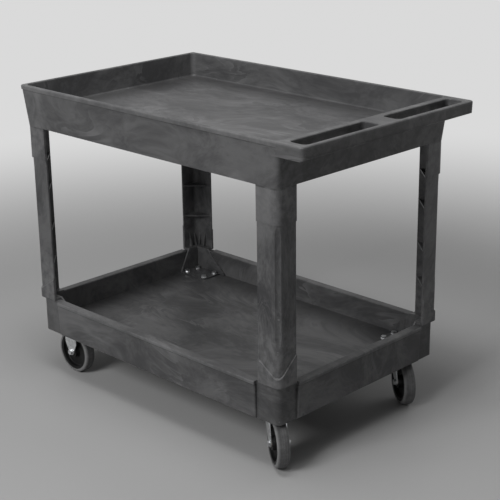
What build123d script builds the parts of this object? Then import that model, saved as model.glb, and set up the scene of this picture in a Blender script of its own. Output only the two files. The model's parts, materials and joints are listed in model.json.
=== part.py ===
from build123d import *
import os
from math import cos, radians, sin, sqrt

# Two-shelf rolling utility cart. Sizes are millimetres, +X is the handle end and +Z is up.
# The origin is on the floor, under the middle of the overall box.

# Overall box
overall_length = 1040.0
overall_width = 644.0
overall_height = 845.0

# Top tray
top_wall_height = 113.0
top_wall_draft = 8.0
top_wall = 7.0
top_rim_width = 11.0
top_inside_draft = 3.0
top_depth = 70.0
top_floor = 5.0
top_rim_corner = 7.0
top_foot_corner = 20.0
top_inside_corner = 12.0
top_floor_fillet = 6.0
rim_edge_fillet = 3.0
rim_outer_fillet = 4.0
rim_band_height = 12.0
rim_band_step = 1.5
rib_thickness = 4.0
rib_pitch = 96.0
rib_setback = 4.0

# Handle
handle_overhang = 81.5
handle_thickness = 34.0
handle_top_round = 10.0
handle_under_round = 10.0
handle_corner = 10.0
handle_cove = 16.0
slot_end_bar = 27.0
slot_width = 51.0
slot_gap = 68.0
slot_corner = 12.0
slot_front_bar = 13.5
slot_edge_fillet = 3.0

# Legs
leg_setback = 1.0
leg_width_x = 71.5
leg_width_y = 65.5
leg_wall = 5.5
leg_collar_step = 2.5
leg_corner = 18.0
leg_inside_corner = 16.0
leg_edge_round = 2.0
flute_reach = 12.0
flute_depth = 2.0
flute_fade = 25.0
flute_drop = 112.0
flute_rise = 127.0
leg_top_collar = 89.0
leg_boot_corner_height = 16.0
leg_boot_x_height = 63.0
leg_boot_y_height = 77.0
rung_thickness = 4.0
rung_drops = (93.0, 177.0)
rung_rises = (108.0, 205.0)
rung_edge_margin = 2.0
rung_bite = 1.0
leg_shelf = 6.0
leg_cap = 6.0
leg_foot = 4.0
leg_foot_margin = 12.5
leg_foot_corner = 15.0
leg_skirt = 5.5
gusset_past_foot = 18.0
fin_thickness = 4.0
fin_height = 56.0
fin_reach = 18.0
fin_places = (20.0, 40.0)
fit_clearance = 0.5

# Screws that hold each leg to the top tray, as places from the leg's outer corner
screw_places = ((24.0, 24.0), (49.0, 21.0), (21.0, 49.0))
screw_radius = 2.4
screw_grip = 22.0
screw_head_radius = 5.0
screw_head_height = 3.5
screw_hole_clearance = 0.3
boss_radius = 6.5
boss_blind = 5.0

# Bottom tray
low_panel_proud = 2.0
low_panel_draft = 6.0
low_panel_gap_x = 12.0
low_panel_gap_y = 7.0
low_panel_round = 4.0
low_band_height = 9.0
low_band_step = 2.0
low_band_round = 3.5
low_block_step = 9.0
low_block_corner = 15.0
low_ledge = 25.0
low_wall = 5.0
low_depth = 66.0
low_floor = 6.0
low_inside_corner = 12.0
low_rib_depth = 22.0
skirt_over_wheel = 3.0
caster_room = 16.0

# Casters: places of the plate centre from the lower tray's inside walls, then the parts
caster_from_wall_x = 55.0
caster_from_wall_y = 42.0
plate_length = 95.0
plate_width = 67.0
plate_thickness = 4.0
plate_corner = 8.0
bolt_spread_x = 75.0
bolt_spread_y = 44.0
bolt_radius = 4.0
bolt_hole_clearance = 0.3
bolt_head_flats = 13.0
bolt_head_height = 5.5
bolt_tail = 1.5
bolt_nut_height = 6.5
washer_radius = 8.5
washer_thickness = 1.6

wheel_diameter = 127.0
wheel_width = 32.0
tread_thickness = 9.5
tread_edge_round = 8.0
core_rim_thickness = 8.0
core_rim_inset = 1.5
core_web = 9.0
core_fillet = 3.0
core_hub_draft = 2.0
core_rim_draft = 1.5
hub_radius = 17.0
hub_length = 37.0
hub_side_gap = 1.0
bearing_wall = 3.1
running_clearance = 0.05
sleeve_radius = 6.35
axle_radius = 4.75
axle_head_flats = 14.0
axle_head_height = 6.0
axle_nut_height = 8.0
axle_tail = 2.0

fork_wall = 3.0
fork_tip_radius = 9.5
fork_top_half = 24.0
fork_shoulder = 27.0
crown_clearance = 11.0
crown_thickness = 4.0
crown_radius = 32.0
crown_rim_wall = 3.0
crown_rim_rise = 8.0
crown_hole_radius = 8.0
crown_drop = 8.0
crown_back = 22.0
crown_front = 30.0
swivel_offset = 42.0
swivel_rest_angle = -33.0
race_gap = 6.0
race_boss_radius = 27.0
race_boss_height = 7.0
upper_ball_radius = 4.0
upper_ball_pitch = 22.0
upper_ball_count = 12
lower_ball_radius = 3.0
lower_ball_pitch = 12.5
lower_ball_count = 10
lower_race_gap = 4.0
lower_race_radius = 17.0
lower_race_thickness = 4.0
king_radius = 6.0
king_head_radius = 11.0
king_head_height = 5.0
king_recess_clearance = 1.0
king_nut_flats = 18.0
king_nut_height = 8.0
king_tail = 3.0

# Levels above the floor, from the wheels up
axle_level = wheel_diameter / 2
crown_under = wheel_diameter + crown_clearance
crown_top = crown_under + crown_thickness
boss_under = crown_top + race_gap
plate_under = boss_under + race_boss_height
plate_top = plate_under + plate_thickness
low_floor_top = plate_top + low_floor
low_rim_level = low_floor_top + low_depth
skirt_level = wheel_diameter + skirt_over_wheel
foot_top = low_floor_top + leg_foot
tray_foot_level = overall_height - top_wall_height
top_floor_level = overall_height - top_depth
handle_under_level = overall_height - handle_thickness

# Plan lines: half width and the two ends
rim_half_width = overall_width / 2
front_end = -overall_length / 2
rear_end = overall_length / 2
tray_foot_half = rim_half_width - top_wall_draft
tray_foot_front = front_end + top_wall_draft
tray_foot_rear = rear_end - handle_overhang
leg_half = tray_foot_half - leg_setback
leg_front = tray_foot_front + leg_setback
leg_rear = tray_foot_rear - leg_setback
slot_length = (overall_width - slot_gap) / 2 - slot_end_bar
low_ledge_inset = low_ledge - low_panel_proud
caster_inset_x = low_ledge_inset + caster_from_wall_x
caster_inset_y = low_ledge_inset + caster_from_wall_y
foot_reach_x = caster_inset_x + bolt_spread_x / 2 + leg_foot_margin
foot_reach_y = caster_inset_y + bolt_spread_y / 2 + leg_foot_margin
fork_inside = hub_length / 2 + hub_side_gap
fork_outside = fork_inside + fork_wall

corners = {
    "front_left": (-1, -1),
    "front_right": (-1, 1),
    "rear_left": (1, -1),
    "rear_right": (1, 1),
}


def plan_box(x_low, x_high, y_half, z_low, z_high, corner=0.0):
    """Upright block, centred on the X axis, with rounded upright edges when a corner is given."""
    length = x_high - x_low
    outline = RectangleRounded(length, 2 * y_half, corner) if corner else Rectangle(length, 2 * y_half)
    return extrude(Pos((x_low + x_high) / 2, 0, z_low) * outline, z_high - z_low)


def drafted_box(low, high, z_low, z_high):
    """Block whose sides lean: low and high are (x_low, x_high, y_half, corner) at the two levels."""
    faces = []
    for (x_low, x_high, y_half, corner), level in ((low, z_low), (high, z_high)):
        outline = RectangleRounded(x_high - x_low, 2 * y_half, corner)
        faces.append(Pos((x_low + x_high) / 2, 0, level) * outline)
    return loft(faces, ruled=True)


def block(x_low, x_high, y_low, y_high, z_low, z_high):
    """Plain block between two corners."""
    size = Box(x_high - x_low, y_high - y_low, z_high - z_low)
    return Pos((x_low + x_high) / 2, (y_low + y_high) / 2, (z_low + z_high) / 2) * size


def post(radius, z_low, z_high, x=0.0, y=0.0):
    """Upright round bar."""
    return Pos(x, y, (z_low + z_high) / 2) * Cylinder(radius, z_high - z_low)


def hexagon(flats, z_low, z_high, x=0.0, y=0.0):
    """Upright hexagonal bar, by its width across flats."""
    return extrude(Pos(x, y, z_low) * RegularPolygon(flats / 2, 6, major_radius=False), z_high - z_low)


def side_plate(outline, y_low, y_high):
    """Plate with an outline drawn in X and Z, from y_low to y_high."""
    return extrude(Plane.XZ.offset(-y_low) * outline, -(y_high - y_low))


def corner_outline(start, reach_x, reach_y, corner):
    """Rectangle from (start, start) to the reaches, rounded only at its first corner."""
    outline = Rectangle(reach_x - start, reach_y - start)
    outline = Pos((start + reach_x) / 2, (start + reach_y) / 2) * outline
    first = outline.vertices().sort_by(lambda v: v.X + v.Y)[0]
    return fillet(first, corner)


def soften(outline, places, radius):
    """Outline with the corners at some places rounded."""
    found = [min(outline.vertices(), key=lambda v: abs(v.X - x) + abs(v.Y - y)) for x, y in places]
    return fillet(found, radius)


def leg_origin(corner):
    """Place of a leg's outer corner."""
    end, side = corners[corner]
    return (leg_front if end < 0 else leg_rear), side * leg_half


def at_leg(corner, u, v):
    """Point u along the cart and v across it, measured inwards from a leg's outer corner."""
    end, side = corners[corner]
    x, y = leg_origin(corner)
    return x - end * u, y - side * v


def to_corner(shape, corner):
    """Copy of a front left piece, turned over to suit its corner and put there."""
    end, side = corners[corner]
    if end > 0:
        shape = mirror(shape, Plane.YZ)
    if side > 0:
        shape = mirror(shape, Plane.XZ)
    x, y = leg_origin(corner)
    return Pos(x, y, 0) * shape


def caster_centre(corner):
    """Plan place of a caster plate's centre."""
    return at_leg(corner, caster_inset_x, caster_inset_y)


def bolt_places():
    """Bolt places round a caster plate's centre."""
    return [(x * bolt_spread_x / 2, y * bolt_spread_y / 2) for x in (-1, 1) for y in (-1, 1)]


def rib_grid(x_low, x_high, y_half, z_low, z_high):
    """Grid of thin ribs, evenly spread in both directions."""
    ribs = []
    across = int((x_high - x_low) / rib_pitch) + 1
    for i in range(1, across):
        x = x_low + (x_high - x_low) * i / across
        ribs.append(block(x - rib_thickness / 2, x + rib_thickness / 2, -y_half, y_half, z_low, z_high))
    along = int(2 * y_half / rib_pitch) + 1
    for i in range(1, along):
        y = -y_half + 2 * y_half * i / along
        ribs.append(block(x_low, x_high, y - rib_thickness / 2, y + rib_thickness / 2, z_low, z_high))
    return Part() + ribs


def handle_block():
    """Handle: a flat bar across the rear end, rounded at the front, with a cove to the end wall."""
    wall_lean = top_wall_draft * (top_wall_height - handle_thickness) / top_wall_height
    wall_x = tray_foot_rear + wall_lean
    root_x = tray_foot_rear - top_wall
    outline = Polygon(
        (root_x, handle_under_level),
        (rear_end, handle_under_level),
        (rear_end, overall_height),
        (root_x, overall_height),
        align=None,
    )
    front = outline.vertices().group_by(Axis.X)[-1].sort_by(Axis.Y)
    outline = fillet(front[0], handle_under_round)
    outline = fillet(outline.vertices().sort_by(lambda v: v.X + v.Y)[-1], handle_top_round)
    bar = side_plate(outline, -rim_half_width, rim_half_width)
    under_half = rim_half_width - top_wall_draft * handle_thickness / top_wall_height
    envelope = drafted_box(
        (root_x - 2 * handle_corner, rear_end, under_half, handle_corner),
        (root_x - 2 * handle_corner, rear_end, rim_half_width, handle_corner),
        handle_under_level,
        overall_height,
    )
    envelope = fillet(envelope.faces().sort_by(Axis.Z)[-1].edges(), rim_outer_fillet)
    cove_shift = (handle_cove - top_wall) / 2
    cove = Rectangle(handle_cove + top_wall, handle_cove + top_wall)
    cove = Pos(wall_x + cove_shift, handle_under_level - cove_shift) * cove
    cove -= Pos(wall_x + handle_cove, handle_under_level - handle_cove) * Circle(handle_cove)
    beyond = Rectangle(2 * top_wall, 4 * handle_cove)
    cove -= Pos(wall_x + handle_cove + top_wall, handle_under_level) * beyond
    cove_half = tray_foot_half - top_foot_corner
    return bar & envelope, side_plate(cove, -cove_half, cove_half)


def top_tray():
    """Upper shelf: a drafted tub with a handle, a ribbed underside and bosses for the legs."""
    tub_rear = tray_foot_rear + top_wall_draft
    tub = drafted_box(
        (tray_foot_front, tray_foot_rear, tray_foot_half, top_foot_corner),
        (front_end + rim_band_step, tub_rear, rim_half_width - rim_band_step, top_rim_corner),
        tray_foot_level,
        overall_height,
    )
    lean = top_wall_draft * rim_band_height / top_wall_height
    band = drafted_box(
        (front_end + lean, tray_foot_rear, rim_half_width - lean, top_rim_corner),
        (front_end, tray_foot_rear, rim_half_width, top_rim_corner),
        overall_height - rim_band_height,
        overall_height,
    )
    body = Part()
    for shape in (tub, band):
        body += fillet(shape.faces().sort_by(Axis.Z)[-1].edges(), rim_outer_fillet)
    bar, cove = handle_block()
    body = body + bar + cove

    rim = top_rim_width
    low_rim = rim + top_inside_draft
    inside = drafted_box(
        (front_end + low_rim, tub_rear - low_rim, rim_half_width - low_rim, top_inside_corner),
        (front_end + rim, tub_rear - rim, rim_half_width - rim, top_inside_corner + top_inside_draft),
        top_floor_level,
        overall_height,
    )
    inside = fillet(inside.faces().sort_by(Axis.Z)[0].edges(), top_floor_fillet)
    body -= inside

    under_corner = top_foot_corner - top_wall
    floor_under = top_floor_level - top_floor
    rise = top_wall_draft * (floor_under - tray_foot_level) / top_wall_height
    cavity = drafted_box(
        (tray_foot_front + top_wall, tray_foot_rear - top_wall, tray_foot_half - top_wall, under_corner),
        (
            tray_foot_front + top_wall - rise,
            tray_foot_rear - top_wall + rise,
            tray_foot_half - top_wall + rise,
            under_corner,
        ),
        tray_foot_level,
        floor_under,
    )
    ribs = rib_grid(
        tray_foot_front + top_wall,
        tray_foot_rear - top_wall,
        tray_foot_half,
        tray_foot_level + rib_setback,
        floor_under,
    )
    ribs &= cavity
    bosses = []
    pilots = []
    cap_top = tray_foot_level + leg_cap
    for corner in corners:
        x, y = at_leg(corner, leg_width_x / 2, leg_width_y / 2)
        room_x, room_y = leg_width_x / 2 + fit_clearance, leg_width_y / 2 + fit_clearance
        ribs -= block(x - room_x, x + room_x, y - room_y, y + room_y, tray_foot_level, cap_top)
        for u, v in screw_places:
            x, y = at_leg(corner, u, v)
            bosses.append(post(boss_radius, cap_top, floor_under, x, y))
            pilots.append(post(screw_radius, cap_top, floor_under - boss_blind, x, y))
    body = body - cavity + ribs + bosses - pilots

    slot_x = rear_end - slot_front_bar - slot_width / 2
    for side in (-1, 1):
        slot_y = side * (slot_gap + slot_length) / 2
        opening = RectangleRounded(slot_width, slot_length, slot_corner)
        cut_level = handle_under_level - handle_cove
        body -= extrude(Pos(slot_x, slot_y, cut_level) * opening, overall_height - cut_level)
    top_face = body.faces().filter_by(Axis.Z).sort_by(Axis.Z)[-1]
    slot_wires = [w for w in top_face.inner_wires() if w.bounding_box().size.X < slot_width + 1]
    slot_edges = [edge for wire in slot_wires for edge in wire.edges()]
    body = fillet(slot_edges, slot_edge_fillet)
    top_face = body.faces().filter_by(Axis.Z).sort_by(Axis.Z)[-1]
    inside_wire = max(top_face.inner_wires(), key=lambda w: w.bounding_box().size.X)
    return fillet(inside_wire.edges(), rim_edge_fillet)


def flange_ends(face):
    """Outer corners of a leg's two flanges, on an outline whose outer faces lie at face."""
    return (leg_width_x, face), (face, leg_width_y)


def corner_flute():
    """Cutter for the shallow flute down a leg's outer corner, fading out at both ends."""
    half_chord = flute_reach / sqrt(2)
    radius = (half_chord**2 + flute_depth**2) / (2 * flute_depth)
    middle = leg_collar_step + flute_reach / 2 - (radius - flute_depth) / sqrt(2)
    crest = leg_collar_step + leg_corner * (1 - 1 / sqrt(2))
    end_radius = (crest - middle) * sqrt(2)
    low, high = low_rim_level + flute_rise, tray_foot_level - flute_drop
    cutter = post(radius, low, high)
    cutter += Pos(0, 0, high + flute_fade / 2) * Cone(radius, end_radius, flute_fade)
    cutter += Pos(0, 0, low - flute_fade / 2) * Cone(end_radius, radius, flute_fade)
    return Pos(middle, middle, 0) * cutter


def leg():
    """Front left leg, with its outer corner on the Z axis and its flanges along +X and +Y."""
    inner_face = leg_collar_step + leg_wall
    shelf_reach = low_ledge_inset + fit_clearance + leg_skirt
    skirt_face = low_ledge_inset + fit_clearance
    shelf_top = low_rim_level + leg_shelf

    hollow = corner_outline(inner_face, 2 * leg_width_x, 2 * leg_width_x, leg_inside_corner)
    upright = corner_outline(leg_collar_step, leg_width_x, leg_width_y, leg_corner) - hollow
    collar = corner_outline(0, leg_width_x, leg_width_y, leg_corner) - hollow
    upright = soften(upright, flange_ends(leg_collar_step), leg_edge_round)
    collar = soften(collar, flange_ends(0), leg_edge_round)

    body = extrude(Pos(0, 0, low_rim_level) * upright, tray_foot_level - low_rim_level)
    body -= corner_flute()
    body += extrude(Pos(0, 0, tray_foot_level - leg_top_collar) * collar, leg_top_collar)
    boot = extrude(Pos(0, 0, low_rim_level) * collar, max(leg_boot_x_height, leg_boot_y_height))
    slope_x = (leg_boot_x_height - leg_boot_corner_height) / leg_width_x
    slope_y = (leg_boot_y_height - leg_boot_corner_height) / leg_width_y
    boot_top = Plane(origin=(0, 0, low_rim_level + leg_boot_corner_height), z_dir=(-slope_x, -slope_y, 1))
    body += split(boot, bisect_by=boot_top, keep=Keep.BOTTOM)

    web_start = inner_face - rung_bite
    web_x, web_y = leg_width_x - rung_edge_margin, leg_width_y - rung_edge_margin
    web = Polygon(
        (web_start, web_start),
        (web_x, web_start),
        (web_x, inner_face),
        (inner_face, web_y),
        (web_start, web_y),
        align=None,
    )
    web = fillet(web.vertices().sort_by(lambda v: v.X + v.Y)[0], leg_inside_corner + rung_bite)
    rung_levels = [tray_foot_level - drop for drop in rung_drops]
    rung_levels += [low_rim_level + rise for rise in rung_rises]
    for level in rung_levels:
        body += extrude(Pos(0, 0, level) * web, rung_thickness)

    cap_start = top_wall - leg_setback + fit_clearance
    cap_x, cap_y = leg_width_x - fit_clearance, leg_width_y - fit_clearance
    cap = Polygon(
        (cap_start, cap_start),
        (cap_x, cap_start),
        (cap_x, leg_width_y / 2),
        (leg_width_x / 2, cap_y),
        (cap_start, cap_y),
        align=None,
    )
    cap = fillet(cap.vertices().sort_by(lambda v: v.X + v.Y)[0], top_foot_corner - top_wall)
    body += extrude(Pos(0, 0, tray_foot_level - leg_cap) * cap, 2 * leg_cap)

    shelf = corner_outline(0, leg_width_x, leg_width_y, leg_corner)
    shelf -= corner_outline(shelf_reach, 2 * leg_width_x, 2 * leg_width_x, low_inside_corner - leg_skirt)
    shelf = soften(shelf, flange_ends(0), leg_edge_round)
    body += extrude(Pos(0, 0, low_rim_level) * shelf, leg_shelf)

    foot_x, foot_y = foot_reach_x, foot_reach_y
    foot = corner_outline(skirt_face, foot_x, foot_y, low_inside_corner - fit_clearance)
    far = foot.vertices().sort_by(lambda v: v.X + v.Y)[-1]
    foot = fillet(far, leg_foot_corner)
    lower = extrude(Pos(0, 0, low_floor_top) * foot, leg_foot)
    gusset_x = foot_x + gusset_past_foot
    skirt_x = Polygon(
        (skirt_face, low_floor_top),
        (gusset_x, low_floor_top),
        (gusset_x, foot_top),
        (leg_width_x, shelf_top),
        (skirt_face, shelf_top),
        align=None,
    )
    skirt_y = Polygon(
        (skirt_face, low_floor_top),
        (foot_y, low_floor_top),
        (foot_y, foot_top),
        (leg_width_y, shelf_top),
        (skirt_face, shelf_top),
        align=None,
    )
    lower += side_plate(skirt_x, skirt_face, shelf_reach)
    lower += extrude(Plane.YZ.offset(skirt_face) * skirt_y, leg_skirt)
    reach = corner_outline(skirt_face, 2 * foot_x, 2 * foot_x, low_inside_corner - fit_clearance)
    lower &= extrude(Pos(0, 0, low_floor_top) * reach, shelf_top - low_floor_top)
    body += lower

    fin = Polygon(
        (inner_face - leg_wall / 2, shelf_top),
        (fin_reach, shelf_top),
        (inner_face - leg_wall / 2, shelf_top + fin_height),
        align=None,
    )
    for place in fin_places:
        body += side_plate(fin, place, place + fin_thickness)
        body += extrude(Plane.YZ.offset(place) * fin, fin_thickness)

    holes = []
    for dx, dy in bolt_places():
        u, v = caster_inset_x + dx, caster_inset_y + dy
        holes.append(post(bolt_radius + bolt_hole_clearance, low_floor_top, foot_top, u, v))
    for u, v in screw_places:
        low, high = tray_foot_level - leg_cap, tray_foot_level + leg_cap
        holes.append(post(screw_radius + screw_hole_clearance, low, high, u, v))
    return body - holes


def bottom_tray():
    """Lower shelf: a double-walled rim with proud panels between recessed corner blocks."""
    block_front = leg_front + low_block_step
    block_rear = leg_rear - low_block_step
    block_half = leg_half - low_block_step
    inside_front = leg_front + low_ledge_inset
    inside_rear = leg_rear - low_ledge_inset
    inside_half = leg_half - low_ledge_inset
    panel_x_front = leg_front + leg_width_x + low_panel_gap_x
    panel_x_rear = leg_rear - leg_width_x - low_panel_gap_x
    panel_y = leg_half - leg_width_y - low_panel_gap_y

    body = plan_box(block_front, block_rear, block_half, skirt_level, low_rim_level, low_block_corner)
    channel_top = low_rim_level - low_wall
    step = low_panel_proud + low_block_step
    panel_top = step - low_band_step
    panel = Polygon(
        (-step, skirt_level),
        (step - low_panel_draft, skirt_level),
        (panel_top, low_rim_level),
        (-step, low_rim_level),
        align=None,
    )
    hollow = Polygon(
        (-step, skirt_level),
        (step - low_panel_draft - low_wall, skirt_level),
        (panel_top - low_wall, channel_top),
        (-step, channel_top),
        align=None,
    )
    long_mid = (panel_x_front + panel_x_rear) / 2
    long_run = panel_x_rear - panel_x_front
    panels = []
    hollows = []
    for turn, x, y, run in (
        (0, block_rear, 0, 2 * panel_y),
        (180, block_front, 0, 2 * panel_y),
        (90, long_mid, block_half, long_run),
        (-90, long_mid, -block_half, long_run),
    ):
        place = Pos(x, y, 0) * Rot(0, 0, turn)
        slab = side_plate(panel, -run / 2, run / 2)
        face = slab.faces().sort_by(Axis.X)[-1]
        panels.append(place * fillet(face.edges(), low_panel_round))
        band = block(-step, step, -run / 2, run / 2, low_rim_level - low_band_height, low_rim_level)
        face = band.faces().sort_by(Axis.X)[-1]
        panels.append(place * fillet(face.edges().sort_by(Axis.Z)[1:], low_band_round))
        hollows.append(place * side_plate(hollow, -run / 2 + low_wall, run / 2 - low_wall))
    body = body + panels

    inside = plan_box(
        inside_front,
        inside_rear,
        inside_half,
        low_floor_top,
        low_rim_level,
        low_inside_corner,
    )
    wall_back = plan_box(
        inside_front - low_wall,
        inside_rear + low_wall,
        inside_half + low_wall,
        plate_top,
        low_rim_level,
        low_inside_corner + low_wall,
    )
    under = plan_box(
        block_front + low_wall,
        block_rear - low_wall,
        block_half - low_wall,
        skirt_level,
        channel_top,
        low_block_corner - low_wall,
    )
    hollow_all = (under + hollows) - wall_back
    body = body - hollow_all - inside

    ribs = rib_grid(
        inside_front - low_wall,
        inside_rear + low_wall,
        inside_half + low_wall,
        plate_top - low_rib_depth,
        plate_top,
    )
    for corner in corners:
        x, y = caster_centre(corner)
        room_x, room_y = plate_length / 2 + caster_room, plate_width / 2 + caster_room
        ribs -= block(x - room_x, x + room_x, y - room_y, y + room_y, skirt_level, plate_top)
    stays = rib_grid(block_front - step, block_rear + step, block_half + step, plate_top, channel_top)
    stays &= hollow_all
    body = body + ribs + stays

    holes = []
    for corner in corners:
        x, y = caster_centre(corner)
        for dx, dy in bolt_places():
            holes.append(post(bolt_radius + bolt_hole_clearance, plate_top, low_floor_top, x + dx, y + dy))
    body -= holes
    ledge = body.faces().filter_by(Axis.Z).sort_by(Axis.Z)[-1]
    return fillet(ledge.inner_wires()[0].edges(), rim_edge_fillet)


def caster_plate():
    """Flat mounting plate with four bolt holes, centred on the caster's axis."""
    outline = RectangleRounded(plate_length, plate_width, plate_corner)
    plate = extrude(Pos(0, 0, plate_under) * outline, plate_thickness)
    hole_radius = bolt_radius + bolt_hole_clearance
    return plate - [post(hole_radius, plate_under, plate_top, x, y) for x, y in bolt_places()]


def fork_side(top_low, top_high, tip_x, shoulder_level, top_level):
    """Outline of a fork leg: straight down to its shoulders, then tapered to a round tip at the axle."""
    tip = Pos(tip_x, axle_level) * Circle(fork_tip_radius)
    top = Rectangle(top_high - top_low, top_level - shoulder_level)
    top = Pos((top_low + top_high) / 2, (shoulder_level + top_level) / 2) * top
    axle_hole = Circle(axle_radius + running_clearance)
    return make_hull(tip.edges() + top.edges()) - Pos(tip_x, axle_level) * axle_hole


def both_sides(outline):
    """The two legs of a fork."""
    far_side = side_plate(outline, fork_inside, fork_outside)
    near_side = side_plate(outline, -fork_outside, -fork_inside)
    return [far_side, near_side]


def rigid_fork():
    """Front caster fork: a mounting plate with two legs bent down from it."""
    side = fork_side(-fork_top_half, fork_top_half, 0, axle_level + fork_shoulder, plate_under)
    return caster_plate() + both_sides(side)


def swivel_fork():
    """Rear caster fork, trailing towards +X: a dished crown with ball grooves and two legs."""
    crown = Pos(0, 0, (crown_under + crown_top) / 2) * Cylinder(crown_radius, crown_thickness)
    crown += block(-crown_back, crown_front, -fork_outside, fork_outside, crown_under, crown_top)
    rim = post(crown_radius, crown_under, crown_top + crown_rim_rise)
    rim -= post(crown_radius - crown_rim_wall, crown_under, crown_top + crown_rim_rise)
    side = fork_side(-crown_back, crown_front, swivel_offset, crown_under - crown_drop, crown_top)
    fork = crown + rim + both_sides(side)
    fork -= post(crown_hole_radius, crown_under, crown_top)
    fork -= ball_groove(upper_ball_pitch, upper_ball_radius, upper_ball_level())
    return fork - ball_groove(lower_ball_pitch, lower_ball_radius, lower_ball_level())


def upper_ball_level():
    """Height of the upper balls' centres."""
    return crown_top + race_gap / 2


def lower_ball_level():
    """Height of the lower balls' centres."""
    return crown_under - lower_race_gap / 2


def ball_groove(pitch, radius, level):
    """Ring-shaped groove that a circle of balls runs in."""
    return Pos(0, 0, level) * Torus(pitch, radius + running_clearance)


def ball_ring(pitch, radius, level, count):
    """Circle of separate balls."""
    step = 360 / count
    places = [(pitch * cos(radians(step * i)), pitch * sin(radians(step * i))) for i in range(count)]
    return [Pos(x, y, level) * Sphere(radius) for x, y in places]


def swivel_plate():
    """Rear caster mounting plate, pressed down in the middle to hold the upper race and king bolt."""
    plate = caster_plate() + post(race_boss_radius, boss_under, plate_under)
    plate -= ball_groove(upper_ball_pitch, upper_ball_radius, upper_ball_level())
    plate -= post(king_head_radius + king_recess_clearance, king_seat(), plate_top)
    return plate - post(king_radius + running_clearance, boss_under, plate_top)


def king_seat():
    """Level that the king bolt's head sits on."""
    return plate_top - king_head_height - king_recess_clearance


def race_under():
    """Underside of the lower race."""
    return crown_under - lower_race_gap - lower_race_thickness


def king_bolt():
    """Pivot bolt of a swivel caster."""
    head = post(king_head_radius, king_seat(), king_seat() + king_head_height)
    return head + post(king_radius, race_under() - king_nut_height - king_tail, king_seat())


def king_nut():
    """Nut under the lower race."""
    nut = hexagon(king_nut_flats, race_under() - king_nut_height, race_under())
    return nut - post(king_radius, race_under() - king_nut_height, race_under())


def lower_race():
    """Washer that carries the lower balls."""
    race = post(lower_race_radius, race_under(), race_under() + lower_race_thickness)
    race -= post(king_radius + running_clearance, race_under(), race_under() + lower_race_thickness)
    return race - ball_groove(lower_ball_pitch, lower_ball_radius, lower_ball_level())


def on_axle(shape):
    """Piece drawn along Z, laid along the axle."""
    return Pos(0, 0, axle_level) * Rot(-90, 0, 0) * shape


def turned(outline):
    """Ring or wheel turned about the axle from an outline of radius and side distance."""
    return Pos(0, 0, axle_level) * revolve(outline, Axis.Y)


def tread():
    """Grey tyre of a wheel."""
    outer = wheel_diameter / 2
    outline = Pos(outer - tread_thickness / 2, 0) * Rectangle(tread_thickness, wheel_width)
    outline = fillet(outline.vertices().group_by(Axis.X)[-1], tread_edge_round)
    return turned(outline)


def bearing_radius():
    """Outer radius of the wheel's plain bearing."""
    return sleeve_radius + running_clearance + bearing_wall


def wheel_core():
    """Moulded wheel centre: hub, dished web and rim."""
    rim_outer = wheel_diameter / 2 - tread_thickness
    rim_inner = rim_outer - core_rim_thickness
    rim_side = wheel_width / 2 - core_rim_inset
    outline = Polygon(
        (bearing_radius(), -hub_length / 2),
        (hub_radius, -hub_length / 2),
        (hub_radius + core_hub_draft, -core_web / 2),
        (rim_inner - core_rim_draft, -core_web / 2),
        (rim_inner, -rim_side),
        (rim_outer, -rim_side),
        (rim_outer, rim_side),
        (rim_inner, rim_side),
        (rim_inner - core_rim_draft, core_web / 2),
        (hub_radius + core_hub_draft, core_web / 2),
        (hub_radius, hub_length / 2),
        (bearing_radius(), hub_length / 2),
        align=None,
    )
    web_corners = [v for v in outline.vertices() if hub_radius < v.X < rim_inner]
    return turned(fillet(web_corners, core_fillet))


def ring(inner, outer, half):
    """Plain bush on the axle."""
    return turned(Pos((inner + outer) / 2, 0) * Rectangle(outer - inner, 2 * half))


def axle_bolt():
    """Axle bolt, with its head on the left."""
    head = hexagon(axle_head_flats, fork_outside, fork_outside + axle_head_height)
    shank = post(axle_radius, -fork_outside - axle_nut_height - axle_tail, fork_outside)
    return on_axle(Rot(180, 0, 0) * (head + shank))


def axle_nut():
    """Nut on the right end of the axle bolt."""
    nut = hexagon(axle_head_flats, fork_outside, fork_outside + axle_nut_height)
    return on_axle(nut - post(axle_radius, fork_outside, fork_outside + axle_nut_height))


def wheel_pieces():
    """The pieces at one axle, by name."""
    bore = sleeve_radius + running_clearance
    return {
        "wheel_core": wheel_core(),
        "tread": tread(),
        "bearing": ring(bore, bearing_radius(), hub_length / 2),
        "axle_sleeve": ring(axle_radius + running_clearance, sleeve_radius, fork_inside),
        "axle_bolt": axle_bolt(),
        "axle_nut": axle_nut(),
    }


def caster_bolts(corner):
    """Bolts, nuts and washers of one caster, as three lists."""
    x0, y0 = caster_centre(corner)
    head_under = foot_top + washer_thickness
    nut_under = plate_under - bolt_nut_height
    bolts, nuts, washers = [], [], []
    for dx, dy in bolt_places():
        x, y = x0 + dx, y0 + dy
        head = hexagon(bolt_head_flats, head_under, head_under + bolt_head_height, x, y)
        bolts.append(head + post(bolt_radius, nut_under - bolt_tail, head_under, x, y))
        nut = hexagon(bolt_head_flats, nut_under, plate_under, x, y)
        nuts.append(nut - post(bolt_radius, nut_under, plate_under, x, y))
        washer = post(washer_radius, foot_top, head_under, x, y)
        washers.append(washer - post(bolt_radius + bolt_hole_clearance, foot_top, head_under, x, y))
    return bolts, nuts, washers


def leg_screws():
    """Self-tapping screws that hold the legs to the top tray."""
    seat = tray_foot_level - leg_cap
    screws = []
    for corner in corners:
        for u, v in screw_places:
            x, y = at_leg(corner, u, v)
            head = post(screw_head_radius, seat - screw_head_height, seat, x, y)
            screws.append(head + post(screw_radius, seat, seat + screw_grip, x, y))
    return screws


def save(name, shape):
    """Write one node: a single solid, or a list of separate solids."""
    export_step(Compound(shape) if isinstance(shape, list) else shape, f"parts/{name}.step")


os.makedirs("parts", exist_ok=True)
save("top_tray", top_tray())
save("bottom_tray", bottom_tray())
save("leg_screws", leg_screws())

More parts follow.
